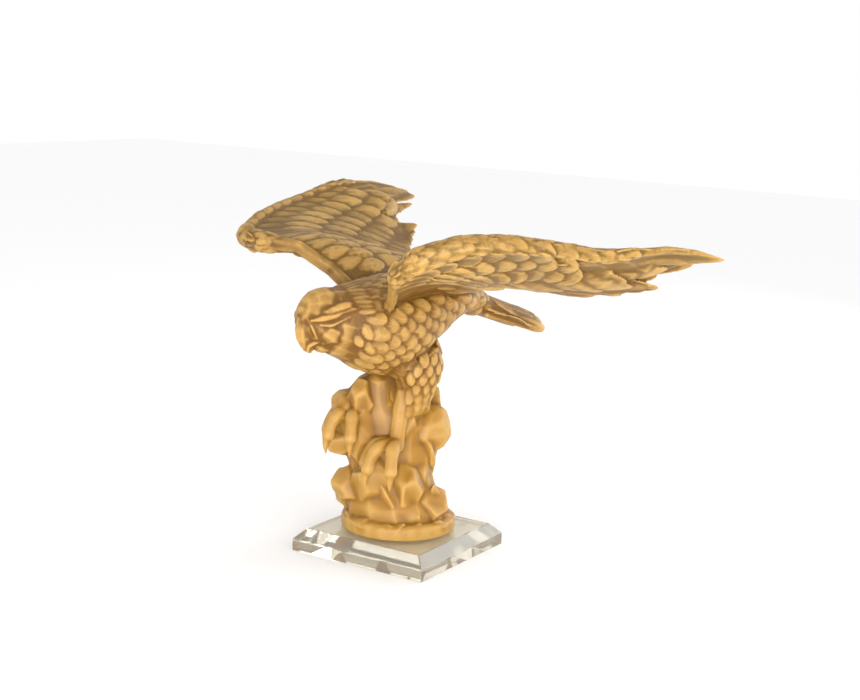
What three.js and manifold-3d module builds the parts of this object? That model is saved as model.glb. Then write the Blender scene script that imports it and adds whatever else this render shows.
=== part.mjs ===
// A crystal eagle on a rock: the bird and its rock are one piece of amber frosted crystal,
// and they stand on a square slab of clear crystal.
// The origin is the middle of the slab's underside. The slab's edges run along X and Y.
import * as THREE from "three";
import { mergeVertices } from "three/addons/utils/BufferGeometryUtils.js";
import { ParametricGeometry } from "three/addons/geometries/ParametricGeometry.js";
import Module from "manifold-3d";

const wasm = await Module();
wasm.setup();

// Sizes in millimetres. A place on the bird is [left of its middle, forward, up].

const SLAB_SIDE = 100;
const SLAB_WALL = 7.7;
const SLAB_THICKNESS = 14.7;
const SLAB_BEVEL = 6.7;
const JOINT_GAP = 0.3;

// The bird faces the slab's front, turned towards its left corner.
const HEADING = THREE.MathUtils.degToRad(-20);

// Body sections from the rump to the throat: [forward, back, belly, half width].
const BODY_SECTIONS = [
  [-68, 166, 158, 6],
  [-56, 170, 157, 12],
  [-42, 175, 156.5, 18],
  [-28, 179, 151.5, 23],
  [-12, 182, 138, 27],
  [10, 183, 120, 31],
  [28, 181, 121, 31],
  [42, 178.5, 126, 27],
  [54, 177.5, 132, 21],
  [64, 177, 137, 17],
  [70, 172, 144, 12],
];

// Wings: the leading and trailing edges run from inside the body to the tip.
const WING_REACH = [0, 0.1, 0.24, 0.4, 0.53, 0.67, 0.78, 0.84, 0.91, 1];
const LEFT_WING = {
  side: 1,
  thickness: [12, 7.5, 7.5, 15, 12.5, 9, 7, 6, 5, 3],
  lead: [
    [10, 28, 160], [29, 35, 169], [56, 53, 185], [83, 64, 202], [110, 38, 216.5],
    [129, 0, 215], [141, -37, 210.5], [147, -58, 212],
    [152, -85, 213], [158.5, -123, 206],
  ],
  trail: [
    [8, -44, 166], [22, -48, 176], [45, -60, 180], [68, -64, 180], [88, -68, 178],
    [106, -80, 178], [124, -103, 185], [131, -96, 198],
    [142, -104, 204], [157, -122, 205.5],
  ],
};
const RIGHT_WING = {
  side: -1,
  thickness: [14, 10, 9.5, 16.5, 12.5, 9, 7, 6, 5, 3],
  lead: [
    [10, 28, 163], [28, 31, 176], [55, 51, 196], [86, 67, 196.5], [112, 40, 207],
    [131, 0, 215.5], [143, -38, 224], [148, -58, 225],
    [153.5, -85, 223.5], [158, -124, 214],
  ],
  trail: [
    [8, -44, 164], [22, -50, 172], [45, -60, 176], [67, -65, 178], [87, -73, 180],
    [105, -82, 184], [119, -90, 196], [125, -88, 205],
    [138, -100, 210], [156, -122, 213.5],
  ],
};
const WING_CAMBER = 7;
const MEMBRANE = 0.86;
const MEMBRANE_TIP = 0.56;

// Flight feathers: where their tips lie along the wing; primaries as [root, tip, width].
const SECONDARY_TIPS = [0.13, 0.21, 0.29, 0.37, 0.45, 0.53];
const SECONDARY_WIDTH = 24;
const PRIMARIES = [[0.42, 0.6, 24], [0.48, 0.69, 24], [0.54, 0.78, 20], [0.64, 0.91, 13], [0.7, 1, 14]];
const FLIGHT_ROOT_CHORD = 0.35;
const FLIGHT_THICKNESS = 4.5;
const FLIGHT_STEP = 0.4;
// Feathers on the leading edge of the hand, whose round ends stand out past it.
const LEADING_FEATHERS = [[0.6, 0.7, 13], [0.69, 0.8, 15], [0.76, 0.87, 13], [0.84, 0.94, 10]];
const LEADING_THICKNESS = 5;
// One row of broad coverts on each face of a wing.
const COVERTS = {
  count: 7, chord: 0.4, length: 0.28, width: 22, first: 0.14, last: 0.8, thickness: 3.2, rise: 1.6,
};

const TAIL_FEATHERS = 5;
const TAIL_ROOT = [-42, 163];
const TAIL_MIDDLE = [-81.5, 156.8];
const TAIL_TIP = [-113, 144.5];
const TAIL_SPREAD = [5, 9, 13.5];
const TAIL_ARCH = 6;
const TAIL_WIDTH = 17;
const TAIL_THICKNESS = 11;
const TAIL_CORE = [[0, -40, 163], [0, -60, 159], [0, -88, 151]];
const TAIL_CORE_SIZES = [[12, 8.5], [11, 7.5], [9, 5.5]];

// Head: rounded masses as [left, forward, up, radii, pitch]; the cheek stands on both sides.
const SKULL = [0, 64, 159.2, [16.5, 19, 19], -0.35];
const FOREHEAD = [0, 74.5, 163, [8, 8.2, 7.5], 0];
const CHIN = [0, 64, 146, [9, 10.5, 10], 0];
const CHEEK = [9, 64, 152, [8, 12, 9], -0.5];
const BEAK = [[0, 70, 162], [0, 76.5, 156], [0, 78, 147], [0, 74.8, 140], [0, 72.6, 136.6]];
const BEAK_SIZES = [[8.5, 9], [7, 8], [5.2, 5.8], [3, 3.2], [0.8, 0.8]];
const JAW = [[0, 62, 150], [0, 70, 145], [0, 73, 141]];
const JAW_SIZES = [[7, 5], [5, 4], [2.2, 2]];
const BROW = [[13, 51, 167], [16, 60, 168], [13.5, 70, 164.5], [8.5, 77, 160]];
const BROW_SIZES = [[2.5, 2.5], [3.4, 3], [3.2, 3], [1.6, 1.6]];

// Legs: the knee and ankle are places forward, the sole is the height of the foot.
const LEG_APART = 14.5;
const LEFT_LEG = { side: 1, knee: 12, ankle: 15, sole: 73 };
const RIGHT_LEG = { side: -1, knee: 20, ankle: 26, sole: 90 };
const THIGH_SIZES = [[14, 20], [14, 19], [11, 13.5], [9, 10.5], [5.5, 6.5]];
const SHANK_SIZES = [[6, 7], [5.6, 6.4], [5, 5], [5.2, 5.2]];
// Toes: [turn from straight ahead, length]; each runs out, bends over the rock and ends in a claw.
const TOES = [[-0.75, 27], [0, 31], [0.75, 26]];
const TOE_SIZES = [[4.4, 4.4], [4.6, 4.6], [3.8, 4], [1, 1.2]];

const ROCK_TURN = THREE.MathUtils.degToRad(32);
const COLLAR_RADIUS = 37.5;
const COLLAR_HEIGHT = 10;
const ROCK_SIDES = 12;
const ROCK_LAYERS = 11;
const ROCK_UNEVENNESS = 0.1;
const STONE_UNEVENNESS = 0.22;

// Rock sections from the collar up: [height, sideways middle, half width, half depth].
const ROCK_SECTIONS = [
  [0, -1, 36, 34],
  [9, -1, 33, 32],
  [20, -4, 31, 29],
  [30, -7, 29, 25],
  [42, -7, 27, 21],
  [54, -9, 29, 19],
  [66, -10, 32, 18],
  [76, -12, 29, 17],
  [86, -16, 24, 15],
  [98, -17, 14, 13],
  [108, -15, 8, 10],
];

// Blocks that break out of the rock: [sideways, towards the viewer, height, radii, turn, tilt].
// Boulders are blocks that the weather has rounded.
const BLOCKS = [
  [-33, 6, 72, [12, 13, 13], 0.3, 0.4],
  [-38, 2, 57, [14, 12, 11], 0.8, 0.2],
  [-33.5, 6, 29, [12, 15, 10.5], 0.2, 0.5],
  [-26, 11, 62, [11, 10, 22], 0.4, 0.15],
  [-27, 10, 86, [10, 9, 17], 1.2, 0.2],
  [12, 4, 18, [17, 22, 15], 0.9, 0.2],
  [-16, 15, 33, [17, 13, 19], 0.1, 0.3],
  [4, 17, 30, [13, 12, 17], 1.4, 0.1],
  [-14, -12, 50, [19, 15, 24], 0.7, 0.2],
  [3, -16, 30, [20, 14, 18], 0.2, 0.6],
  [-30, -8, 20, [13, 20, 15], 0.6, 0.1],
  [9, -6, 44, [13, 15, 20], 0.2, -0.2],
  [-12, -8, 92, [14, 11, 16], 0.5, 0.2],
];

const BOULDERS = [
  [15.5, -4, 67, [16, 16, 17], 0.5, 0.3],
  [-36, 3, 81, [11, 12, 10], 0.3, 0.4],
  [0, 2, 88, [19, 16, 22], 0.2, 0.1],
];

const X_AXIS = new THREE.Vector3(1, 0, 0);
const Z_AXIS = new THREE.Vector3(0, 0, 1);
const at = (left, forward, up) => new THREE.Vector3(left, -forward, up);

// A mesh with each shared corner kept once.
function welded(geometry) {
  const bare = geometry.clone();
  bare.deleteAttribute("normal");
  bare.deleteAttribute("uv");
  return mergeVertices(bare, 1e-3);
}

// A closed mesh as a solid, with its faces out.
function solid(geometry) {
  const merged = welded(geometry);
  const p = merged.attributes.position;
  const index = merged.index.array;
  const corners = [];
  let volume = 0;
  const a = new THREE.Vector3();
  const b = new THREE.Vector3();
  const c = new THREE.Vector3();
  for (let i = 0; i < index.length; i += 3) {
    const [i0, i1, i2] = [index[i], index[i + 1], index[i + 2]];
    if (i0 === i1 || i1 === i2 || i2 === i0) continue;
    a.fromBufferAttribute(p, i0);
    b.fromBufferAttribute(p, i1);
    c.fromBufferAttribute(p, i2);
    volume += a.dot(b.cross(c));
    corners.push(i0, i1, i2);
  }
  if (volume < 0) corners.reverse();
  return new wasm.Manifold(new wasm.Mesh({
    numProp: 3,
    vertProperties: new Float32Array(p.array),
    triVerts: new Uint32Array(corners),
  }));
}

// A closed skin round a length: the form runs along v and closes to a point at both ends.
function skin(point, around, along) {
  const surface = (u, v, target) => target.copy(point(u * 2 * Math.PI, v));
  return solid(new ParametricGeometry(surface, around, along));
}

// The value of a table's columns at t from 0 to 1, on a smooth curve through its rows.
function smoothTable(rows) {
  const curves = rows[0].map((_, k) => new THREE.CatmullRomCurve3(
    rows.map((row, i) => new THREE.Vector3(i, row[k], 0)), false, "catmullrom", 0.5));
  return (t) => curves.map((curve) => curve.getPoint(t).y);
}

function curveThrough(places, side = 1) {
  const points = places.map(([left, forward, up]) => at(side * left, forward, up));
  return new THREE.CatmullRomCurve3(points, false, "centripetal");
}

// The fullness of a rounded end: 0 at the very end, 1 from the given share on.
const roundEnd = (v, share) => Math.sqrt(Math.max(0, 1 - Math.max(0, 1 - v / share) ** 2));

// An egg-shaped mass on one side of the head.
function mass([left, forward, up, radii, pitch], side, around, along) {
  const sphere = new THREE.SphereGeometry(1, around, along);
  const turn = new THREE.Quaternion().setFromAxisAngle(X_AXIS, pitch);
  const place = new THREE.Matrix4().compose(at(side * left, forward, up), turn, new THREE.Vector3(...radii));
  return solid(sphere.applyMatrix4(place));
}

// A limb or beak: round sections along a curve, each with its half width and half depth.
function limb(places, halfSizes, around = 10, along = 10, side = 1, reference = X_AXIS) {
  const axis = curveThrough(places, side);
  const size = smoothTable(halfSizes);
  const across = new THREE.Vector3();
  const tangent = new THREE.Vector3();
  const depth = new THREE.Vector3();
  return skin((angle, v) => {
    const [w, d] = size(v);
    const end = Math.min(roundEnd(v, 0.12), roundEnd(1 - v, 0.12));
    axis.getPoint(v, across);
    const centre = across.clone();
    axis.getTangent(v, tangent);
    depth.crossVectors(tangent, reference).normalize();
    across.crossVectors(depth, tangent).normalize();
    return centre.addScaledVector(across, w * end * Math.cos(angle))
      .addScaledVector(depth, d * end * Math.sin(angle));
  }, around, along);
}

// A feather: a thin blade along a bent line, widest past its middle, with a round tip.
function feather(root, middle, tip, face, width, thickness, along = 5, tipShare = 0.3) {
  const line = new THREE.QuadraticBezierCurve3(root, middle, tip);
  const tangent = new THREE.Vector3();
  return skin((angle, share) => {
    const v = 1 - (1 - share) ** 1.7;
    const centre = line.getPoint(v);
    line.getTangent(v, tangent);
    const across = new THREE.Vector3().crossVectors(face, tangent).normalize();
    const up = new THREE.Vector3().crossVectors(tangent, across).normalize();
    const end = Math.min(roundEnd(v, 0.2), roundEnd(1 - v, tipShare));
    const half = (width / 2) * (0.6 + 0.4 * Math.sin(Math.PI * Math.min(1, v * 0.8))) * end;
    const high = (thickness / 2) * (1 - 0.35 * v) * Math.sqrt(end);
    return centre.addScaledVector(across, half * Math.cos(angle))
      .addScaledVector(up, high * Math.sin(angle));
  }, 4, along);
}

function body() {
  const section = smoothTable(BODY_SECTIONS);
  return skin((angle, v) => {
    const [forward, back, belly, half] = section(v);
    const end = Math.min(roundEnd(v, 0.08), roundEnd(1 - v, 0.1));
    const middle = (back + belly) / 2;
    return at(half * end * Math.cos(angle), forward,
      middle + ((back - belly) / 2) * end * Math.sin(angle));
  }, 16, 15);
}

function head() {
  let all = mass(SKULL, 1, 12, 8).add(mass(FOREHEAD, 1, 10, 6)).add(mass(CHIN, 1, 8, 6));
  all = all.add(limb(BEAK, BEAK_SIZES, 8, 8)).add(limb(JAW, JAW_SIZES, 8, 5));
  for (const side of [1, -1]) {
    all = all.add(limb(BROW, BROW_SIZES, 6, 7, side)).add(mass(CHEEK, side, 8, 6));
  }
  return all;
}

// A wing's surface: reach 0 to 1 from body to tip, chord 0 to 1 from leading to trailing edge.
function wingSurface(wing) {
  const lead = curveThrough(wing.lead, wing.side);
  const trail = curveThrough(wing.trail, wing.side);
  const stations = smoothTable(WING_REACH.map((reach, i) => [reach, wing.thickness[i]]));
  const last = WING_REACH.length - 1;
  const stationOf = (reach) => {
    let i = 0;
    while (i < last - 1 && WING_REACH[i + 1] < reach) i += 1;
    const span = WING_REACH[i + 1] - WING_REACH[i];
    return (i + (reach - WING_REACH[i]) / span) / last;
  };
  return (reach, chord, lift = 0) => {
    const t = stationOf(Math.min(1, Math.max(0, reach)));
    const front = lead.getPoint(t);
    const rear = trail.getPoint(t);
    const run = rear.clone().sub(front);
    const out = lead.getPoint(Math.min(1, t + 0.02)).sub(lead.getPoint(Math.max(0, t - 0.02)));
    const face = new THREE.Vector3().crossVectors(out, run).normalize().multiplyScalar(-wing.side);
    if (face.z < 0) face.negate();
    const arch = Math.sin(Math.PI * THREE.MathUtils.clamp(chord * 1.3, 0, 1) ** 0.8);
    const camber = WING_CAMBER * arch * (1 - reach);
    const point = front.addScaledVector(run, chord).addScaledVector(face, camber + lift);
    return { point, face, thickness: stations(t)[1] };
  };
}

function wing(shape) {
  const surface = wingSurface(shape);
  const membrane = skin((angle, reach) => {
    const towardsTip = THREE.MathUtils.smoothstep(reach, 0.6, 0.9);
    const breadth = THREE.MathUtils.lerp(MEMBRANE, MEMBRANE_TIP, towardsTip);
    const chord = breadth * (1 - Math.cos(angle)) / 2;
    const { thickness } = surface(reach, chord);
    const fade = 1 - 0.7 * (chord / breadth);
    const end = Math.min(roundEnd(reach, 0.04), roundEnd(1 - reach, 0.06));
    const lift = (thickness / 2) * Math.sin(angle) * fade;
    return surface(reach, chord * end + 0.4 * MEMBRANE * (1 - end), lift * end).point;
  }, 12, 15);
  const edgeSizes = shape.thickness.map((thickness) => [thickness / 2, thickness / 2]);
  let all = membrane.add(limb(shape.lead, edgeSizes, 6, 14, shape.side, Z_AXIS));
  const lay = (rootReach, rootChord, tipReach, tipChord, width, thickness, lift, tipShare) => {
    const a = surface(rootReach, rootChord, lift);
    const m = surface((rootReach + tipReach) / 2, (rootChord + tipChord) / 2, lift);
    const b = surface(tipReach, tipChord, lift * 0.6);
    all = all.add(feather(a.point, m.point, b.point, m.face, width, thickness, 5, tipShare));
  };
  // Neighbouring flight feathers lie a step above and below each other.
  const step = (i) => (i % 2 ? FLIGHT_STEP : -FLIGHT_STEP);
  SECONDARY_TIPS.forEach((reach, i) => {
    lay(reach - 0.02, FLIGHT_ROOT_CHORD, reach + 0.01, 1, SECONDARY_WIDTH, FLIGHT_THICKNESS,
      step(i), 0.25);
  });
  PRIMARIES.forEach(([root, tip, width], i) => {
    const tipChord = tip < 1 ? 1 : 0.6;
    lay(root, FLIGHT_ROOT_CHORD, tip, tipChord, width, FLIGHT_THICKNESS - 0.3 * i, step(i), 0.35);
  });
  for (const [root, tip, width] of LEADING_FEATHERS) {
    lay(root, 0.05, tip, -0.02, width, LEADING_THICKNESS, 0, 0.5);
  }
  const { count, chord, length, width, first, last, thickness, rise } = COVERTS;
  for (const face of [1, -1]) {
    for (let i = 0; i < count; i += 1) {
      const reach = first + ((last - first) * i) / (count - 1);
      const membraneHalf = surface(reach, chord).thickness / 2;
      const lift = face * membraneHalf * (1 - 0.7 * (chord + length) / MEMBRANE);
      const a = surface(reach - 0.02, chord, lift * 0.5);
      const m = surface(reach + 0.01, chord + length / 2, lift + face * rise);
      const b = surface(reach + 0.05, chord + length, lift + face * rise * 0.75);
      all = all.add(feather(a.point, m.point, b.point, m.face, width, thickness, 3, 0.45));
    }
  }
  return all;
}

function tail() {
  const face = new THREE.Vector3(0, -0.3, 1);
  let all = limb(TAIL_CORE, TAIL_CORE_SIZES, 8, 5);
  for (let i = 0; i < TAIL_FEATHERS; i += 1) {
    const k = (2 * i) / (TAIL_FEATHERS - 1) - 1;
    const [rootOut, middleOut, tipOut] = TAIL_SPREAD.map((out) => k * out);
    const fall = TAIL_ARCH * k * k;
    const root = at(rootOut, TAIL_ROOT[0], TAIL_ROOT[1]);
    const middle = at(middleOut, TAIL_MIDDLE[0], TAIL_MIDDLE[1] - fall);
    const tip = at(tipOut, TAIL_TIP[0] + fall, TAIL_TIP[1] - fall);
    all = all.add(feather(root, middle, tip, face, TAIL_WIDTH, TAIL_THICKNESS - Math.abs(k), 4));
  }
  return all;
}

// A leg: feathered thigh, bare shank and three toes that hang over the rock's edge.
function leg({ side, knee, ankle, sole }) {
  const thigh = [[13, 8, 140], [15, 2, 125], [15, 2, 112], [LEG_APART, knee - 7, 103],
    [LEG_APART, knee - 3, 91]];
  const shank = [[LEG_APART, knee - 5, 110], [LEG_APART, knee, 100],
    [LEG_APART, ankle, sole + 10], [LEG_APART, ankle, sole]];
  let all = limb(thigh, THIGH_SIZES, 10, 7, side).add(limb(shank, SHANK_SIZES, 8, 6, side));
  for (const [turn, length] of TOES) {
    const out = Math.sin(turn) * length;
    const ahead = Math.cos(turn) * length;
    const toe = [
      [LEG_APART, ankle, sole + 3],
      [LEG_APART + out * 0.45, ankle + 1 + ahead * 0.45, sole + 1],
      [LEG_APART + out * 0.75, ankle + 1 + ahead * 0.7, sole - 9],
      [LEG_APART + out * 0.8, ankle + 1 + ahead * 0.75, sole - 23],
    ];
    all = all.add(limb(toe, TOE_SIZES, 6, 5, side));
  }
  return all;
}

// A repeatable unevenness between 0 and 1 for a place.
function hash(x, y, z) {
  const s = Math.sin(x * 12.9898 + y * 78.233 + z * 37.719) * 43758.5453;
  return s - Math.floor(s);
}

// A stone of the rock: a unit form with its corners moved in or out, stretched into place.
function stone(form, [sideways, toViewer, height, radii, turn, tilt]) {
  const rough = welded(form);
  const p = rough.attributes.position;
  for (let i = 0; i < p.count; i += 1) {
    const [x, y, z] = [p.getX(i), p.getY(i), p.getZ(i)];
    const uneven = hash(Math.round(x * 50) + sideways, Math.round(y * 50), Math.round(z * 50));
    const r = 1 + STONE_UNEVENNESS * (uneven - 0.5);
    p.setXYZ(i, x * r, y * r, z * r);
  }
  const place = new THREE.Matrix4().compose(
    new THREE.Vector3(sideways, -toViewer, SLAB_THICKNESS + height),
    new THREE.Quaternion().setFromEuler(new THREE.Euler(tilt, 0, turn)),
    new THREE.Vector3(...radii));
  return solid(rough.applyMatrix4(place));
}

function rock() {
  const section = smoothTable(ROCK_SECTIONS);
  const foot = SLAB_THICKNESS + JOINT_GAP;
  const core = skin((angle, v) => {
    const [height, middle, wide, deep] = section(v);
    const end = v < 0.001 || v > 0.999 ? 0 : 1;
    const ring = Math.round((angle / (2 * Math.PI)) * ROCK_SIDES) % ROCK_SIDES;
    const rough = 1 + ROCK_UNEVENNESS * (hash(ring, Math.round(v * ROCK_LAYERS), 3) - 0.5);
    return new THREE.Vector3(middle + wide * rough * end * Math.cos(angle),
      deep * rough * end * Math.sin(angle), foot + height);
  }, ROCK_SIDES, ROCK_LAYERS);
  const collarProfile = [[0, 0], [COLLAR_RADIUS - 1.2, 0], [COLLAR_RADIUS, 1.2],
    [COLLAR_RADIUS, COLLAR_HEIGHT - 2], [COLLAR_RADIUS - 3, COLLAR_HEIGHT], [0, COLLAR_HEIGHT]];
  const collar = new THREE.LatheGeometry(collarProfile.map(([r, z]) => new THREE.Vector2(r, z)), 24);
  collar.rotateX(Math.PI / 2);
  collar.translate(-1, 0, foot);
  let all = core.add(solid(collar));
  for (const place of BLOCKS) all = all.add(stone(new THREE.DodecahedronGeometry(1.05, 0), place));
  for (const place of BOULDERS) all = all.add(stone(new THREE.IcosahedronGeometry(1.02, 1), place));
  return all.rotate([0, 0, THREE.MathUtils.radToDeg(ROCK_TURN - HEADING)]);
}

function slab() {
  const half = SLAB_SIDE / 2;
  const top = half - SLAB_BEVEL;
  const profile = [[0, 0], [half, 0], [half, SLAB_WALL], [top, SLAB_THICKNESS], [0, SLAB_THICKNESS]];
  const lathe = new THREE.LatheGeometry(profile.map(([r, z]) => new THREE.Vector2(r * Math.SQRT2, z)), 4);
  return solid(lathe.rotateX(Math.PI / 2).rotateZ(Math.PI / 4));
}

// The crystal is cast solid: only the outer skin of a joined form is kept.
function meshOf(shape, name, material) {
  const outer = shape.decompose().reduce((a, b) => (a.volume() > b.volume() ? a : b));
  const { vertProperties, triVerts } = outer.getMesh();
  const geometry = new THREE.BufferGeometry();
  geometry.setAttribute("position", new THREE.BufferAttribute(vertProperties, 3));
  geometry.setIndex(new THREE.BufferAttribute(triVerts, 1));
  geometry.computeVertexNormals();
  const mesh = new THREE.Mesh(geometry, material);
  mesh.name = name;
  return mesh;
}

const amber = new THREE.MeshStandardMaterial({ color: 0xdcb374, roughness: 0.55, metalness: 0 });
const clear = new THREE.MeshStandardMaterial({
  color: 0xe9e4df, roughness: 0.05, metalness: 0, transparent: true, opacity: 0.4,
});

let bird = body().add(head()).add(tail());
for (const shape of [LEFT_WING, RIGHT_WING]) bird = bird.add(wing(shape));
for (const shape of [LEFT_LEG, RIGHT_LEG]) bird = bird.add(leg(shape));
const eagle = meshOf(bird.add(rock()), "eagle_on_rock", amber);
eagle.rotation.z = HEADING;

const sculpture = new THREE.Group();
sculpture.add(eagle);
sculpture.add(meshOf(slab(), "base_slab", clear));
export default sculpture;
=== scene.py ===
import math
import random
import bmesh
import bpy
import numpy as np
from mathutils import Matrix, Vector
from mathutils.bvhtree import BVHTree


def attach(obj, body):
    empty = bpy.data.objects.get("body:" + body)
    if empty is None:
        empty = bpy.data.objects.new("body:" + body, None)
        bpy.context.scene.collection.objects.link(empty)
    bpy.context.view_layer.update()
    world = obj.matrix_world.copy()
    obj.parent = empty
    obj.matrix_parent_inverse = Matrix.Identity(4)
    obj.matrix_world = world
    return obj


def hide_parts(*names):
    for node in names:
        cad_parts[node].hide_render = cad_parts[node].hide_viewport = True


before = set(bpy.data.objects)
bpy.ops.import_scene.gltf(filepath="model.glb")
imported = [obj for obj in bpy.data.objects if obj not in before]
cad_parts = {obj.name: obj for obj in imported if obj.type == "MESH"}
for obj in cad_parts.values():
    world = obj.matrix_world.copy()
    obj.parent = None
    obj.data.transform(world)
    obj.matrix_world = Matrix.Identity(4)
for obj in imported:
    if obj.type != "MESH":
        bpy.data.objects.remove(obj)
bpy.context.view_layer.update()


# Base slab. The foot is a square plate of clear crystal, ground and polished, with a broad
# bevel round its top edge. The rock is glued to the middle of its top face.
MM = 0.001
SLAB_SIDE = 100.0
SLAB_WALL = 7.7
SLAB_THICKNESS = 14.7
SLAB_BEVEL = 6.7
ARRIS = 0.35
scene = bpy.context.scene


def mesh_object(name, form):
    """A finished piece in the scene, made from its bmesh."""
    mesh = bpy.data.meshes.new(name)
    form.to_mesh(mesh)
    form.free()
    thing = bpy.data.objects.new(name, mesh)
    scene.collection.objects.link(thing)
    return thing


plate = bmesh.new()
bmesh.ops.create_cube(plate, size=SLAB_SIDE * MM,
                      matrix=Matrix.Diagonal((1, 1, SLAB_WALL / SLAB_SIDE, 1)))
bmesh.ops.translate(plate, vec=(0, 0, SLAB_WALL * MM / 2), verts=plate.verts[:])
top = max(plate.faces, key=lambda face: face.calc_center_median().z)
raised = bmesh.ops.extrude_face_region(plate, geom=[top])
bmesh.ops.delete(plate, geom=[top], context="FACES")
corners = [v for v in raised["geom"] if isinstance(v, bmesh.types.BMVert)]
bmesh.ops.translate(plate, vec=(0, 0, (SLAB_THICKNESS - SLAB_WALL) * MM), verts=corners)
narrowing = 1 - 2 * SLAB_BEVEL / SLAB_SIDE
bmesh.ops.scale(plate, vec=(narrowing, narrowing, 1), verts=corners)
bmesh.ops.bevel(plate, geom=plate.edges[:], offset=ARRIS * MM, segments=2, profile=0.5,
                affect="EDGES", material=-1)
bmesh.ops.recalc_face_normals(plate, faces=plate.faces[:])
slab = mesh_object("clear_slab", plate)


class Value:
    """One number of a shader, with the arithmetic that its nodes do."""

    def __init__(self, look, socket):
        self.look = look
        self.socket = socket

    def _math(self, operation, *values, clamp=False):
        inputs = dict(enumerate(values))
        return self.look.node("ShaderNodeMath", {"operation": operation, "use_clamp": clamp}, inputs)

    def __add__(self, other):
        return self._math("ADD", self, other)

    __radd__ = __add__

    def __sub__(self, other):
        return self._math("SUBTRACT", self, other)

    def __rsub__(self, other):
        return self._math("SUBTRACT", other, self)

    def __mul__(self, other):
        return self._math("MULTIPLY", self, other)

    __rmul__ = __mul__

    def __truediv__(self, other):
        return self._math("DIVIDE", self, other)

    def __abs__(self):
        return self._math("ABSOLUTE", self)

    def sine(self):
        return self._math("SINE", self)

    def clamped(self):
        return self._math("ADD", self, 0.0, clamp=True)


class Finish:
    """A material whose nodes are laid one by one."""

    def __init__(self, name):
        self.material = bpy.data.materials.new(name)
        self.material.use_nodes = True
        self.nodes = self.material.node_tree.nodes
        self.links = self.material.node_tree.links
        self.shader = self.nodes["Principled BSDF"]

    def node(self, kind, settings=None, inputs=None, output=0):
        """One node: its settings first, then the values or links of its sockets."""
        made = self.nodes.new(kind)
        for key, value in (settings or {}).items():
            setattr(made, key, value)
        for key, value in (inputs or {}).items():
            if isinstance(value, Value):
                self.links.new(value.socket, made.inputs[key])
            else:
                made.inputs[key].default_value = value
        return Value(self, made.outputs[output])

    def plain(self, **values):
        """Sets what doesn't change over the surface."""
        for key, value in values.items():
            self.shader.inputs[key.replace("_", " ")].default_value = value

    def vary(self, key, value):
        """Links what changes over the surface."""
        self.links.new(value.socket, self.shader.inputs[key])

    def noise(self, place, scale, detail=3.0):
        return self.node("ShaderNodeTexNoise", {"noise_dimensions": "3D"},
                         {"Vector": place, "Scale": scale, "Detail": detail})

    def mix(self, share, a, b):
        return self.node("ShaderNodeMix", {"data_type": "RGBA"},
                         {"Factor": share, 6: a, 7: b}, output=2)


POLISH_SCALE = 60.0
POLISH_ROUGHNESS = 0.012
clear = Finish("polished_clear_crystal")
clear.plain(Base_Color=(1.0, 0.94, 0.78, 1), IOR=1.52, Transmission_Weight=0.9)
at_slab = clear.node("ShaderNodeTexCoord", output=3)
clear.vary("Roughness", clear.noise(at_slab, POLISH_SCALE) * POLISH_ROUGHNESS)
slab.data.materials.append(clear.material)
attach(slab, "root")
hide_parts("base_slab")


# The casting. Bird and rock are one piece of amber crystal, cast in a mould and etched to an
# even frost. It starts from the solid, in millimetres, with the bird facing straight ahead;
# relief gathers the rock faces, feathers, face and feet that are cast with it.
HEADING = math.radians(-20)
WELD = 0.002
to_frame = Matrix.Rotation(HEADING, 4, "Z") @ Matrix.Diagonal((MM, MM, MM, 1))


def at(left, forward, up):
    """A place on the bird: left of its middle, forward and up, in millimetres."""
    return Vector((left, -forward, up))


solid = bmesh.new()
solid.from_mesh(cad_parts["eagle_on_rock"].data)
bmesh.ops.transform(solid, matrix=to_frame.inverted(), verts=solid.verts[:])
bmesh.ops.remove_doubles(solid, verts=solid.verts[:], dist=WELD)
skin = BVHTree.FromBMesh(solid)
relief = []


def add_to_relief(form):
    """Keeps one cast form for the joining, and lets go of its working copy."""
    mesh = bpy.data.meshes.new("form")
    form.to_mesh(mesh)
    form.free()
    relief.append(mesh)


def modified(thing, kind, **settings):
    """The piece with one modifier applied to its mesh."""
    step = thing.modifiers.new(kind.lower(), kind)
    for key, value in settings.items():
        setattr(step, key, value)
    evaluated = thing.evaluated_get(bpy.context.evaluated_depsgraph_get())
    shape = bpy.data.meshes.new_from_object(evaluated)
    thing.modifiers.clear()
    thing.data = shape


def catmull(points, t):
    """A place on the smooth line through the points, t from 0 to 1."""
    last = len(points) - 1
    s = min(max(t, 0), 1) * last
    i = min(int(s), last - 1)
    u = s - i
    p = [Vector(points[max(0, min(last, i + k))]) for k in (-1, 0, 1, 2)]
    return 0.5 * (2 * p[1] + (p[2] - p[0]) * u + (2 * p[0] - 5 * p[1] + 4 * p[2] - p[3]) * u ** 2
                  + (3 * p[1] - 3 * p[2] + p[3] - p[0]) * u ** 3)


def roll_of(places, sizes, side=1, apart=0.35):
    """A rounded form along a line: close balls, whose radii follow the sizes."""
    line = [at(side * a, b, z) for a, b, z in places]
    radii = [(r, 0, 0) for r in sizes]
    length = sum((b - a).length for a, b in zip(line, line[1:]))
    count = max(4, int(length / (apart * min(max(sizes), 3))))
    form = bmesh.new()
    for i in range(count + 1):
        t = i / count
        bmesh.ops.create_icosphere(form, subdivisions=2, radius=max(0.3, catmull(radii, t).x),
                                   matrix=Matrix.Translation(catmull(line, t)))
    add_to_relief(form)


# Rock. A stump of broken stone with upright clefts and smooth shell-like faces, on a low round
# collar. Shards stand proud of the solid's faces all round it.
ROCK_TURN = math.radians(52)
ROCK_MIDDLES = ((0, -1), (20, -4), (42, -7), (66, -10), (86, -16), (108, -15))
ACROSS_ROCK = Vector((math.cos(ROCK_TURN), math.sin(ROCK_TURN), 0))


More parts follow.
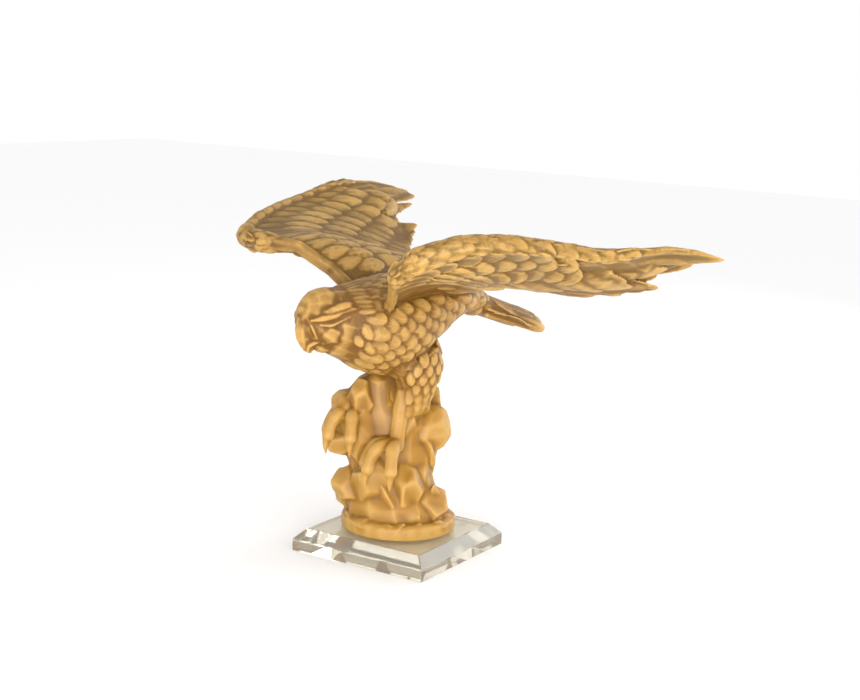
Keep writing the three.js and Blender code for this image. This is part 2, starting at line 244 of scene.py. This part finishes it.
def rock_axis(height):
    """The middle of the rock at a height over the slab."""
    offset = ROCK_MIDDLES[-1][1]
    for (low, a), (high, b) in zip(ROCK_MIDDLES, ROCK_MIDDLES[1:]):
        if height <= high:
            offset = a + (b - a) * (height - low) / (high - low)
            break
    return ACROSS_ROCK * offset + Vector((0, 0, SLAB_THICKNESS + height))


SHARD_CORNERS = 13
SHARD_LEAN = 0.5


def shard(place, out, size, seed):
    """A many-faced stone standing out along one direction; its widest faces are upright."""
    dice = random.Random(seed)
    form = bmesh.new()
    for _ in range(SHARD_CORNERS):
        corner = Vector((dice.gauss(0, 1), dice.gauss(0, 1), dice.gauss(0, 1))).normalized()
        form.verts.new(corner)
    hull = bmesh.ops.convex_hull(form, input=form.verts[:])
    loose = [v for v in hull["geom_interior"] if isinstance(v, bmesh.types.BMVert)]
    bmesh.ops.delete(form, geom=loose, context="VERTS")
    lean = Matrix.Rotation(dice.uniform(-SHARD_LEAN, SHARD_LEAN), 4, "X")
    turn = out.to_track_quat("X", "Z").to_matrix().to_4x4() @ lean
    bmesh.ops.transform(form, matrix=Matrix.Translation(place) @ turn @ Matrix.Diagonal((*size, 1)),
                        verts=form.verts[:])
    add_to_relief(form)


SHARD_HEIGHTS = (18, 36, 54, 72, 88)
SHARDS_ROUND = 7
SHARD_WIDTH = (9, 12)
SHARD_LENGTH = (20, 28)
SHARD_SUNK = 0.84
ROCK_REACH = 60
ROCK_TOP = 112
FEET_FROM, FEET_FRONT, FEET_SIDE = 46, -4, 32
dice = random.Random(7)
for row, height in enumerate(SHARD_HEIGHTS):
    for i in range(SHARDS_ROUND):
        angle = (i + 0.5 * (row % 2) + dice.uniform(-0.2, 0.2)) * 2 * math.pi / SHARDS_ROUND
        out = Vector((math.cos(angle), math.sin(angle), dice.uniform(-0.2, 0.2))).normalized()
        middle = rock_axis(height + dice.uniform(-3, 3))
        place = skin.ray_cast(middle + out * ROCK_REACH, -out, ROCK_REACH - 2)[0]
        if place is None or place.z > ROCK_TOP:
            continue
        if place.z > FEET_FROM and place.y < FEET_FRONT and abs(place.x) < FEET_SIDE:
            continue
        size = (dice.uniform(*SHARD_WIDTH), dice.uniform(*SHARD_WIDTH), dice.uniform(*SHARD_LENGTH))
        shard(place - out * size[0] * SHARD_SUNK, out, size, seed=row * 20 + i)

# Low swells run round the collar's wall, with creases between them.
COLLAR_RADIUS = 37.5
COLLAR_SWELLS = 18
SWELL_DEPTH, SWELL_SUNK, SWELL_HEIGHT = 5.2, 4.6, 6.5
SWELL_SEED = 300
for i in range(COLLAR_SWELLS):
    angle = i * 2 * math.pi / COLLAR_SWELLS + dice.uniform(-0.1, 0.1)
    out = Vector((math.cos(angle), math.sin(angle), 0))
    height = Vector((0, 0, SLAB_THICKNESS + SWELL_HEIGHT))
    low = out * (COLLAR_RADIUS - SWELL_SUNK) + ACROSS_ROCK * ROCK_MIDDLES[0][1] + height
    shard(low, out, (SWELL_DEPTH, dice.uniform(8, 12), dice.uniform(4, 5.8)), seed=SWELL_SEED + i)


# Feathers. Each is a shallow shield that follows the form under it and rises towards its tip,
# in rows that overlap like roof tiles. plumes keeps each one's place, for the barbs.
plumes = []


def shield(sides, rings, waist):
    """A feather of unit size, from root at y -1 to tip at y 1, widest past its middle."""
    form = bmesh.new()
    bmesh.ops.create_uvsphere(form, u_segments=sides, v_segments=rings, radius=1,
                              matrix=Matrix.Rotation(math.pi / 2, 4, "X"))
    for v in form.verts:
        along = (v.co.y + 1) / 2
        v.co.x *= waist + (1 - waist) * math.sin(math.pi * min(1, along * 0.85))
    mesh = bpy.data.meshes.new("shield")
    form.to_mesh(mesh)
    form.free()
    return mesh


SHIELD = shield(10, 8, 0.7)
BLADE = shield(10, 14, 0.8)
# The ground under a feather is felt on a small grid of places, within DRAPE of its own plane.
GRID_ACROSS = (-0.8, -0.4, 0, 0.4, 0.8)
GRID_ALONG = (-0.9, -0.6, -0.3, 0, 0.3, 0.6, 0.9)
DRAPE = 9.0
NEAR = 3.5
BEND = 0.1
FACING = 0.35
LEAST_GROUND = 12
MISFIT = 2.2
SUNK = 0.3


def lay(place, flow, face, length, width, thickness, rise, template=SHIELD, roll=0.0):
    """Sets one feather with its middle at place, running along flow, on a surface facing face."""
    face = face.normalized()
    flow = (flow - face * flow.dot(face)).normalized()
    side = flow.cross(face).normalized()
    terms, levels = [], []
    for x in GRID_ACROSS:
        for y in GRID_ALONG:
            over = place + side * (x * width / 2) + flow * (y * length / 2)
            hit, normal, _, _ = skin.ray_cast(over + face * DRAPE, -face, 2 * DRAPE)
            if hit is None or normal.dot(face) <= FACING:
                continue
            level = (hit - over).dot(face)
            if abs(level) < NEAR + BEND * length * abs(y):
                terms.append((1, x, y, y * y, x * y, x * x))
                levels.append(level)
    if len(levels) < LEAST_GROUND:
        return
    fit = np.linalg.lstsq(np.array(terms), np.array(levels), rcond=None)[0]
    if np.abs(np.array(terms) @ fit - levels).max() > MISFIT:
        return
    form = bmesh.new()
    form.from_mesh(template)
    for v in form.verts:
        x, y, z = v.co
        ground = float(fit @ (1, x, y, y * y, x * y, x * x))
        height = ground + z * thickness / 2 + rise * (y + 1) / 2 + roll * x - SUNK * thickness
        v.co = place + side * (x * width / 2) + flow * (y * length / 2) + face * height
    turn = Matrix((side, flow, face)).transposed().to_4x4()
    plumes.append((len(relief), (Matrix.Translation(place) @ turn).inverted()))
    add_to_relief(form)


# Legs. Short feathers cover the thighs; the shank is bare, and knuckled toes reach over the
# edge of the rock and end in claws.
LEG_APART = 14.5
LEGS = ((1, 12, 15, 73), (-1, 20, 26, 90))
TOES = ((-0.75, 27), (0, 31), (0.75, 26))
THIGH_ROWS = (137, 131, 125, 119, 113, 107, 102, 97)
THIGH_FEATHERS = 11
THIGH_REACH = 22
SHANK_FROM = 105
BELLY_FROM = 116
SHIN_SIZES = (5.6, 5.8, 5.2, 5.6)
TOE_SIZES = (4.8, 4.0, 4.9, 4.0, 4.4)
CLAW_SIZES = (3.0, 2.3, 0.7)
for side, knee, ankle, sole in LEGS:
    for row, height in enumerate(THIGH_ROWS):
        middle = at(side * LEG_APART, 2 + (knee - 6) * max(0, (112 - height) / 16), height)
        for i in range(THIGH_FEATHERS):
            angle = (i + 0.5 * (row % 2)) * 2 * math.pi / THIGH_FEATHERS
            over_shank = height < SHANK_FROM and math.sin(angle) > 0.3
            against_belly = height > BELLY_FROM and side * math.cos(angle) < 0.2
            if over_shank or against_belly:
                continue
            out = at(math.cos(angle), math.sin(angle), 0.1).normalized()
            place, face, _, _ = skin.ray_cast(middle + out * THIGH_REACH, -out, THIGH_REACH - 1)
            reach = 19 if height > BELLY_FROM else 13
            if place is None or face.dot(out) < FACING or (place - middle).length > reach:
                continue
            lay(place, at(0, 0.1, -1), face, 12, 7.0, 2.2, 1.5)
    shin = ((LEG_APART, knee - 1, 108), (LEG_APART, knee + 1, 98), (LEG_APART, ankle, sole + 10),
            (LEG_APART, ankle + 1, sole + 2))
    roll_of(shin, SHIN_SIZES, side)
    for turn, length in TOES:
        out, ahead = math.sin(turn) * length, math.cos(turn) * length
        toe = ((LEG_APART, ankle, sole + 3), (LEG_APART + out * 0.25, ankle + ahead * 0.28, sole + 3),
               (LEG_APART + out * 0.48, ankle + 1 + ahead * 0.47, sole + 1),
               (LEG_APART + out * 0.66, ankle + 1 + ahead * 0.62, sole - 4),
               (LEG_APART + out * 0.75, ankle + 1 + ahead * 0.7, sole - 11))
        roll_of(toe, TOE_SIZES, side)
        claw = (toe[-1], (LEG_APART + out * 0.8, ankle + 1 + ahead * 0.76, sole - 16),
                (LEG_APART + out * 0.79, ankle + 1 + ahead * 0.75, sole - 23))
        roll_of(claw, CLAW_SIZES, side)


# Body. Broad scale feathers run back over breast, flanks and back, and long narrow hackles
# lie over the neck behind the smooth head.
SPINE = ((-62, 163), (-42, 165), (-12, 160), (10, 152), (28, 151), (42, 152), (56, 155))


def on_spine(forward):
    """The height of the body's middle line at a place along the bird."""
    for (low, a), (high, b) in zip(SPINE, SPINE[1:]):
        if forward <= high:
            return a + (b - a) * (forward - low) / (high - low)
    return b


BODY_ROWS = 15
BODY_FRONT = 43
BODY_STEP = 6.4
RUMP_FROM = -20
BODY_REACH = 46
BODY_WIDEST = 33
SCALE_APART = 9.5
for row in range(BODY_ROWS):
    forward = BODY_FRONT - row * BODY_STEP
    middle = at(0, forward, on_spine(forward))
    radius = 28 if forward > RUMP_FROM else 16
    count = round(2 * math.pi * radius / SCALE_APART)
    for i in range(count):
        angle = (i + 0.5 * (row % 2)) * 2 * math.pi / count
        out = at(math.cos(angle), 0, math.sin(angle))
        place, face, _, _ = skin.ray_cast(middle + out * BODY_REACH, -out, BODY_REACH - 1)
        if place is None or (place - middle).length > BODY_WIDEST or face.dot(out) < 0.25:
            continue
        size = dice.uniform(0.85, 1.2)
        lay(place, at(dice.uniform(-0.2, 0.2), -1, -0.25), face, 17 * size, 13.5 * size, 1.9, 1.7)

HACKLE_ROWS = ((44, 14), (39, 16), (33.5, 17), (28, 18))
HACKLES = 17
HACKLE_REACH = 40
NECK_WIDEST = 34
for row, (forward, length) in enumerate(HACKLE_ROWS):
    middle = at(0, forward, on_spine(forward))
    for i in range(HACKLES):
        angle = math.radians(30 + 120 * (i + 0.5 * (row % 2)) / (HACKLES - 1))
        out = at(math.cos(angle), 0.15, math.sin(angle)).normalized()
        place, face, _, _ = skin.ray_cast(middle + out * HACKLE_REACH, -out, HACKLE_REACH - 1)
        if place is None or (place - middle).length > NECK_WIDEST or face.dot(out) < 0.2:
            continue
        swing = dice.uniform(-0.25, 0.25)
        lay(place, at(swing, -1, -0.35), face, length, 5.2, 2.6, 1.6, BLADE)


# Tail. Five long blunt feathers, each a little lower than its inner neighbour, between two
# rounded edges that close the fan.
TAIL_HEIGHT = 155
TAIL_CLEAR = 30
TAIL_FAN = (-1, -0.5, 0, 0.5, 1)
TAIL_EDGE = (
    ((8, -60, 153), (11, -76, 150), (13.4, -90, 146), (14, -99, 143), (13, -104.5, 141.5)),
    (2.0, 3.8, 4.2, 4.0, 2.6),
)
for k in TAIL_FAN:
    for up in (1, -1):
        start = at(k * 9, -80, TAIL_HEIGHT + up * TAIL_CLEAR)
        place, face, _, _ = skin.ray_cast(start, at(0, 0, -up), 50)
        if place is not None:
            lay(place, at(k * 0.1, -1, -0.3), face, 40, 15, 1.8, 0.4, BLADE, roll=0.3 * k)
for side in (1, -1):
    roll_of(*TAIL_EDGE, side)


# Wings. Each is a long arm, cranked at the wrist, that ends in two split tips. Rows of coverts lie
# over the roots of the long flight feathers, and round shields over the under side of the arm.
WING_REACH = (0, 0.1, 0.24, 0.4, 0.53, 0.67, 0.78, 0.84, 0.91, 1)
# Both edges of each wing run from inside the body to the tip, at the same stations. Reach goes from
# 0 at the body to 1 at the tip, and chord from 0 at the leading edge to 1 at the trailing edge.
WINGS = {
    1: (
        ((10, 28, 160), (29, 35, 169), (56, 53, 185), (83, 64, 202), (110, 38, 216.5),
         (129, 0, 215), (141, -37, 210.5), (147, -58, 212), (152, -85, 213), (158.5, -123, 206)),
        ((8, -44, 166), (22, -48, 176), (45, -60, 180), (68, -64, 180), (88, -68, 178),
         (106, -80, 178), (124, -103, 185), (131, -96, 198), (142, -104, 204), (157, -122, 205.5)),
    ),
    -1: (
        ((10, 28, 163), (28, 31, 176), (55, 51, 196), (86, 67, 196.5), (112, 40, 207),
         (131, 0, 215.5), (143, -38, 224), (148, -58, 225), (153.5, -85, 223.5), (158, -124, 214)),
        ((8, -44, 164), (22, -50, 172), (45, -60, 176), (67, -65, 178), (87, -73, 180),
         (105, -82, 184), (119, -90, 196), (125, -88, 205), (138, -100, 210), (156, -122, 213.5)),
    ),
}


def wing_place(side, reach, chord):
    """A place on the middle sheet of a wing."""
    lead, trail = WINGS[side]
    i = max(k for k in range(len(WING_REACH) - 1) if WING_REACH[k] <= max(0, min(reach, 0.9999)))
    t = (i + (reach - WING_REACH[i]) / (WING_REACH[i + 1] - WING_REACH[i])) / (len(WING_REACH) - 1)
    front = catmull([at(side * a, b, z) for a, b, z in lead], t)
    rear = catmull([at(side * a, b, z) for a, b, z in trail], t)
    return front.lerp(rear, chord)


WING_STEP = 0.02


def wing_face(side, reach, chord):
    """The way the upper side of a wing faces at a place."""
    low, high = max(0, reach - WING_STEP), min(1, reach + WING_STEP)
    ahead, behind = max(0, chord - WING_STEP), min(1, chord + WING_STEP)
    out = wing_place(side, high, chord) - wing_place(side, low, chord)
    run = wing_place(side, reach, behind) - wing_place(side, reach, ahead)
    face = out.cross(run).normalized()
    return face if face.z > 0 else -face


WING_CLEAR = 16
WING_RAY = 30
WING_FACING = 0.1


def on_wing(side, up, reach, chord):
    """The place on the skin over one face of a wing, if there is one, and the way it faces."""
    face = wing_face(side, reach, chord) * up
    start = wing_place(side, reach, chord) + face * WING_CLEAR
    hit, normal, _, _ = skin.ray_cast(start, -face, WING_RAY)
    if hit is not None and normal.dot(face) < WING_FACING:
        hit = None
    return hit, face


def wing_feather(side, up, root, tip, width, thickness, rise, template=BLADE, roll=0.0):
    """A feather from root to tip, both given as reach and chord, on one face of a wing."""
    a, b = wing_place(side, *root), wing_place(side, *tip)
    hit, face = on_wing(side, up, (root[0] + tip[0]) / 2, (root[1] + tip[1]) / 2)
    if hit is not None:
        lay(hit, b - a, face, (b - a).length, width, thickness, rise, template, roll)


# Rows round the leading edge, from the wrist on: degrees over its front, width of the feathers.
EDGE_ROWS = ((0, 11), (36, 10.5), (72, 10.5), (-36, 12.5), (-72, 12.5))
EDGE_COUNT = 13
EDGE_FROM = 0.3
EDGE_SPAN = 0.5
EDGE_CLEAR = 14


def edge_feathers(side):
    """Feathers that wrap the leading edge, over its front and under the wing."""
    for row, (degrees, width) in enumerate(EDGE_ROWS):
        swing = math.radians(degrees)
        for i in range(EDGE_COUNT + 1):
            reach = EDGE_FROM + EDGE_SPAN * (i + 0.5 * (row % 2)) / EDGE_COUNT
            place = wing_place(side, reach, 0)
            outer, inner = wing_place(side, reach + WING_STEP, 0), wing_place(side, reach - WING_STEP, 0)
            along = (outer - inner).normalized()
            run = (wing_place(side, reach, 0.2) - place).normalized()
            face = wing_face(side, reach, 0.05)
            out = (face * math.sin(swing) - run * math.cos(swing)).normalized()
            hit, normal, _, _ = skin.ray_cast(place + out * EDGE_CLEAR, -out, EDGE_CLEAR - 0.5)
            if hit is not None and normal.dot(out) > 0.2:
                over = (face * math.cos(swing) + run * math.sin(swing)) * (1 if swing > 0 else -1)
                size = min(1, 0.6 + (reach - EDGE_FROM) * 5) * (1.2 - 0.5 * reach)
                lay(hit, over * 0.22 + along, out, 19 * size, width * size, 2.6, 1.3)


SECONDARIES = 9
SECONDARIES_FROM, SECONDARIES_SPAN = 0.12, 0.43
# Primaries: reach of root and tip, width; then the two feathers of the wing's tip.
PRIMARIES = ((0.40, 0.60, 17), (0.44, 0.645, 16), (0.47, 0.69, 16), (0.50, 0.735, 15), (0.54, 0.78, 15))
TIP_FEATHERS = (
    ((0.62, 0.3), (0.90, 0.84), 10, 2.2, 0.5, 0.5),
    ((0.66, 0.2), (0.975, 0.45), 9, 1.8, 0.3, 0.4),
)
COVERTS_FROM, COVERTS_TO = 0.12, 0.76
# Rows of coverts: chord of root and tip, width, thickness, rise of the tip, spacing along the wing.
UPPER_COVERTS = (
    (0.44, 0.80, 17.5, 3.0, 2.4, 0.054),
    (0.26, 0.58, 17.0, 3.4, 2.8, 0.052),
    (0.10, 0.38, 16.0, 3.4, 2.6, 0.046),
    (0.00, 0.24, 13.0, 3.0, 1.6, 0.040),
)
UNDER_COVERTS = (
    (0.48, 0.82, 17.0, 3.0, 2.2, 0.054),
)
# Under the arm, round shields lie in rows along the wing: chord, width and length in millimetres.
UNDER_SHIELDS = ((0.47, 25, 21), (0.29, 25, 20), (0.11, 23, 19))
SHIELDS_A_ROW = 9
SHIELDS_FROM = 0.25
SHIELDS_APART = 0.048
for side in (1, -1):
    edge_feathers(side)
    for up, coverts in ((1, UPPER_COVERTS), (-1, UNDER_COVERTS)):
        for i in range(SECONDARIES):
            reach = SECONDARIES_FROM + SECONDARIES_SPAN * i / (SECONDARIES - 1)
            root, tip = (reach - 0.02, 0.4), (reach + 0.012, 0.97)
            wing_feather(side, up, root, tip, 17, 2.4, 0.7, roll=0.6 * side)
        for root, tip, width in PRIMARIES:
            wing_feather(side, up, (root, 0.36), (tip, 0.955), width, 2.4, 0.6, roll=0.7 * side)
        for root, tip, width, thickness, rise, roll in TIP_FEATHERS:
            wing_feather(side, up, root, tip, width, thickness, rise, roll=roll * side)
        for row, (start, end, width, thickness, rise, step) in enumerate(coverts):
            span = COVERTS_TO - 0.02 * row - COVERTS_FROM
            count = round(span / step)
            for i in range(count + 1):
                reach = COVERTS_FROM + span * (i + 0.5 * (row % 2)) / count
                lean = 0.012 + 0.10 * min(1, max(0, (reach - 0.36) / 0.3)) * (end - start) * 2
                wing_feather(side, up, (reach, start), (min(0.97, reach + lean), end), width, thickness,
                             rise, SHIELD, roll=0.25 * side)
    for row, (chord, width, length) in enumerate(UNDER_SHIELDS):
        for i in range(SHIELDS_A_ROW):
            reach = SHIELDS_FROM + SHIELDS_APART * (i + 0.5 * (row % 2))
            flow = wing_place(side, reach + WING_STEP, chord + 0.012) - wing_place(side, reach, chord)
            hit, face = on_wing(side, -1, reach, chord)
            if hit is not None:
                lay(hit, flow, face, length, width, 3.4, 3.2)


# Head. A smooth cap with a heavy brow over a narrow eye, a strong hooked beak with its cere, and
# three small tufts over the ear. The neck's feathers begin behind it.
EAR_TUFTS = ((48, 153, 13, 8), (45.5, 143, 14, 9), (52, 147, 10, 7))
# The lines of each side of the face: places sideways, forward and up, then its radius at each.
BROW = (
    ((14.6, 49, 163.5), (15.2, 55, 164.5), (14.8, 61, 164.4),
     (13.4, 67.5, 163), (11, 73, 161), (8, 78, 159)),
    (0.3, 1.4, 2.2, 2.4, 2.0, 0.9),
)
LID = (
    ((15, 56, 161), (14.8, 62, 158.6), (12.8, 68.5, 157), (10.4, 73.5, 157)),
    (0.3, 1.0, 1.3, 0.7),
)
EYE = (((12.6, 67, 162), (12.6, 67.2, 162)), (2.6, 2.6))
CERE = (
    ((6.4, 80, 160), (8.2, 78, 156), (8.4, 76, 152), (7.8, 74.5, 148.5)),
    (0.3, 0.8, 0.9, 0.5),
)
JAW = (
    ((8.6, 68, 147.5), (6.4, 74, 145.2), (4.0, 77.2, 142.6), (1.6, 76.6, 139)),
    (0.9, 1.4, 1.4, 1.0),
)


def on_head(side, places, sizes):
    """A rounded form along a line on the head's skin, half sunk in it."""
    on_skin = []
    for (a, b, z), size in zip(places, sizes):
        hit, normal, _, _ = skin.find_nearest(at(side * a, b, z))
        hit = hit + normal * (size * 0.15)
        on_skin.append((hit.x, -hit.y, hit.z))
    roll_of(on_skin, sizes)


for side in (1, -1):
    on_head(side, *BROW)
    on_head(side, *LID)
    roll_of(*EYE, side)
    on_head(side, *CERE)
    roll_of(*JAW, side)
    for forward, height, length, width in EAR_TUFTS:
        place, face, _, _ = skin.ray_cast(at(side * 40, forward, height), at(-side, 0, 0), 40)
        if place is not None:
            lay(place, at(0, -0.5, -1), face, length, width, 3.4, 1.6)

# One skin is drawn over the solid and its relief, then thinned to an even mesh.
CORE_GRAIN = 0.7
CORE_ROUNDS = 5
SKIN_GRAIN = 0.6
SKIN_EVENING = 0.35
TRIANGLES = 188000
joined = bmesh.new()
starts = []
for form in relief:
    starts.append(len(joined.faces))
    joined.from_mesh(form, face_normals=False, vertex_normals=False)
plume_tree = BVHTree.FromBMesh(joined)
core = mesh_object("casting_core", solid)
modified(core, "REMESH", mode="VOXEL", voxel_size=CORE_GRAIN)
modified(core, "SMOOTH", factor=0.5, iterations=CORE_ROUNDS)
joined.from_mesh(core.data)
bpy.data.objects.remove(core)
casting = mesh_object("amber_eagle_on_rock", joined)
modified(casting, "REMESH", mode="VOXEL", voxel_size=SKIN_GRAIN)
modified(casting, "SMOOTH", factor=SKIN_EVENING, iterations=1)
faces = sum(len(p.vertices) - 2 for p in casting.data.polygons)
modified(casting, "DECIMATE", ratio=min(1, TRIANGLES / faces))
mesh = casting.data
mesh.validate()

verts = np.empty(len(mesh.vertices) * 3)
mesh.vertices.foreach_get("co", verts)
verts = verts.reshape(-1, 3)
edges = np.empty(len(mesh.edges) * 2, dtype=int)
mesh.edges.foreach_get("vertices", edges)
edges = edges.reshape(-1, 2)
neighbours = np.bincount(edges.ravel(), minlength=len(verts))[:, None]


def smoothed(values, rounds):
    """The values at the mesh's points, each taken as the mean of its neighbours, so many times."""
    for _ in range(rounds):
        total = np.zeros_like(values)
        for k in range(values.shape[1]):
            total[:, k] = (np.bincount(edges[:, 0], values[edges[:, 1], k], len(values))
                           + np.bincount(edges[:, 1], values[edges[:, 0], k], len(values)))
        values = total / np.maximum(neighbours, 1)
    return values


# Where each place lies on its feather: across from the shaft, along it and whether it has one.
NEAR_FEATHER = 1.4
nearest = [plume_tree.find_nearest(Vector(co), NEAR_FEATHER)[2] for co in verts]
nearest = np.array([-1 if face is None else face for face in nearest])
form_of = np.where(nearest < 0, -1, np.searchsorted(starts, nearest, side="right") - 1)
plume_of_form = np.full(len(relief) + 1, -1)
for k, (form, _) in enumerate(plumes):
    plume_of_form[form] = k
owner = plume_of_form[form_of]
frames = np.array([np.array(matrix) for _, matrix in plumes])
has = owner >= 0
local = np.zeros((len(verts), 3))
homogeneous = np.c_[verts[has], np.ones(has.sum())]
local[has] = np.einsum("nij,nj->ni", frames[owner[has]], homogeneous)[:, :3]
on_feather = np.c_[local[:, 0], local[:, 1], has.astype(float)]
barb_places = mesh.attributes.new("on_feather", "FLOAT_VECTOR", "POINT")
barb_places.data.foreach_set("vector", on_feather.astype(np.float32).ravel())

# The rock's faces are etched smooth: below the bird, bare places are evened out.
UNDER_BIRD = 112
bare = (~has) & (verts[:, 2] < UNDER_BIRD)
verts[bare] = smoothed(verts, 1)[bare]
mesh.vertices.foreach_set("co", verts.ravel())
mesh.update()

# How far each place stands out from, or lies under, the smoothed form round it. The amber's painted
# shade and painted highlight follow it.
FINE_ROUNDS = 3
BROAD_ROUNDS = 11
normals = np.empty(len(mesh.vertices) * 3)
mesh.vertices.foreach_get("normal", normals)
normals = normals.reshape(-1, 3)
once = smoothed(verts, FINE_ROUNDS)
broad = np.einsum("ij,ij->i", verts - smoothed(once, BROAD_ROUNDS), normals)
fine = np.einsum("ij,ij->i", verts - once, normals)
standing = np.clip(broad * 0.2 + fine * 2.2, -1, 1)
relief_marks = mesh.attributes.new("standing_out", "FLOAT", "POINT")
relief_marks.data.foreach_set("value", standing.astype(np.float32))

mesh.transform(to_frame)
mesh.shade_smooth()

# Frosted amber crystal: light goes in and comes back warm. The colour carries painted light: a painted
# highlight makes edges that stand out paler, painted shade makes the hollows deeper amber, and the rock
# and, less so, the wings are painted paler than the body, as light showing through the crystal.
# The deepest amber is painted shade for the hollows, and the palest is a painted highlight for edges.
PAINTED_HOLLOW_SHADE = (0.15, 0.060, 0.005, 1)
MIDDLE = (0.19, 0.082, 0.007, 1)
PAINTED_EDGE_HIGHLIGHT = (0.52, 0.31, 0.082, 1)
# The next two colours are painted light: paler amber for the wings and the rock, as light showing
# through.
WING_PAINTED_LIGHT = (0.20, 0.113, 0.016, 1)
ROCK_PAINTED_LIGHT = (0.39, 0.195, 0.024, 1)
BARB_WIDTH = 2.4
BARB_DEPTH = 0.0003
ROCK_UNDER, ROCK_BLEND = 0.125, 0.03
WINGS_OVER, WING_BLEND = 0.165, 0.04
amber = Finish("frosted_amber_crystal")
amber.plain(IOR=1.5, Specular_IOR_Level=0.25, Transmission_Weight=0.2, Subsurface_Weight=0.8,
            Subsurface_Radius=(1.0, 0.7, 0.4), Subsurface_Scale=0.003)
here = amber.node("ShaderNodeTexCoord", output=3)
standing_out = amber.node("ShaderNodeAttribute", {"attribute_name": "standing_out"}, output=2)
feather_place = amber.node("ShaderNodeAttribute", {"attribute_name": "on_feather"}, output=1)
across = amber.node("ShaderNodeSeparateXYZ", inputs={0: feather_place}, output=0)
along = amber.node("ShaderNodeSeparateXYZ", inputs={0: feather_place}, output=1)
feathered = amber.node("ShaderNodeSeparateXYZ", inputs={0: feather_place}, output=2)
cloud = amber.noise(here, 45.0, 4.0)
height = amber.node("ShaderNodeSeparateXYZ", inputs={0: here}, output=2)
wing_share = ((height - WINGS_OVER) / WING_BLEND).clamped()
rock_share = ((ROCK_UNDER - height) / ROCK_BLEND).clamped()
# Painted light: the rock below the bird and the wings turn paler, as light showing through the crystal.
ground = amber.mix(rock_share, amber.mix(wing_share * 0.85, MIDDLE, WING_PAINTED_LIGHT), ROCK_PAINTED_LIGHT)
# Painted shade deepens the hollows, and a painted highlight pales the edges that stand out.
shade_in_hollows = (standing_out * -0.9 + (cloud - 0.5) * 0.25).clamped()
highlight_on_crests = (standing_out * 1.4 + (cloud - 0.5) * 0.25).clamped()
colour = amber.mix(highlight_on_crests, amber.mix(shade_in_hollows, ground, PAINTED_HOLLOW_SHADE), PAINTED_EDGE_HIGHLIGHT)
amber.vary("Base Color", colour)
amber.vary("Roughness", 0.40 + cloud * 0.16)
barbs = ((abs(across) * 0.9 + along) * (2 * math.pi / BARB_WIDTH)).sine()
shaft = (1 - abs(across) * 1.6).clamped()
grain = amber.noise(here, 900.0, 2.0)
lift = feathered * (barbs * 0.5 + shaft * 1.2) + grain * 0.35
bump = amber.node("ShaderNodeBump", inputs={"Strength": 0.4, "Distance": BARB_DEPTH, "Height": lift})
amber.vary("Normal", bump)
mesh.materials.append(amber.material)
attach(casting, "root")
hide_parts("eagle_on_rock")


# Studio. A pale seamless floor, a low soft light before the near wing, a broad fill from the side,
# a soft light from behind and the camera at the height of the bird.
FLOOR_HALF = 3.0
FLOOR_GAP = 0.0002
table = bmesh.new()
bmesh.ops.create_grid(table, x_segments=1, y_segments=1, size=FLOOR_HALF)
floor = mesh_object("floor", table)
floor.location.z = -FLOOR_GAP
paper = Finish("pale_floor")
paper.plain(Base_Color=(0.95, 0.95, 0.95, 1), Roughness=0.8)
floor.data.materials.append(paper.material)

world = bpy.data.worlds.new("studio")
scene.world = world
scene.view_settings.view_transform = "Standard"
world.use_nodes = True
world.node_tree.nodes["Background"].inputs["Color"].default_value = (1, 1, 1, 1)
world.node_tree.nodes["Background"].inputs["Strength"].default_value = 1.0


def lamp(name, place, aim, power, size):
    """A square soft lamp at place, turned to aim."""
    light = bpy.data.lights.new(name, "AREA")
    light.energy = power
    light.size = size
    thing = bpy.data.objects.new(name, light)
    thing.location = place
    thing.rotation_euler = (Vector(aim) - Vector(place)).to_track_quat("-Z", "Y").to_euler()
    scene.collection.objects.link(thing)


lamp("key", (0.45, -0.85, 0.1), (0.06, 0, 0.18), 11.0, 0.35)
lamp("fill", (0.9, -0.4, 0.3), (0, 0, 0.1), 2.5, 0.6)
lamp("backlight", (0.5, 0.9, 0.35), (0, 0, 0.1), 5.0, 0.7)

# The camera looks at the bird from its left front, a little above, and is turned slightly.
TURN, RISE, ROLL = math.radians(32.07), math.radians(10.96), math.radians(-2.37)
DISTANCE = 1.0
SENSOR = 36
FOCAL_LENGTH = 64.83
ASIDE = 0.01555
AIM_HEIGHT = 0.13345
back = Vector((math.sin(TURN) * math.cos(RISE), -math.cos(TURN) * math.cos(RISE), math.sin(RISE)))
level = Vector((math.cos(TURN), math.sin(TURN), 0))
upright = back.cross(level)
right = level * math.cos(ROLL) - upright * math.sin(ROLL)
up = level * math.sin(ROLL) + upright * math.cos(ROLL)
lens = bpy.data.cameras.new("camera")
lens.sensor_width = SENSOR
lens.lens = FOCAL_LENGTH
camera = bpy.data.objects.new("camera", lens)
place = level * ASIDE + Vector((0, 0, AIM_HEIGHT)) + back * DISTANCE
turn = Matrix((right, up, back)).transposed().to_4x4()
camera.matrix_world = Matrix.Translation(place) @ turn
scene.collection.objects.link(camera)
scene.camera = camera
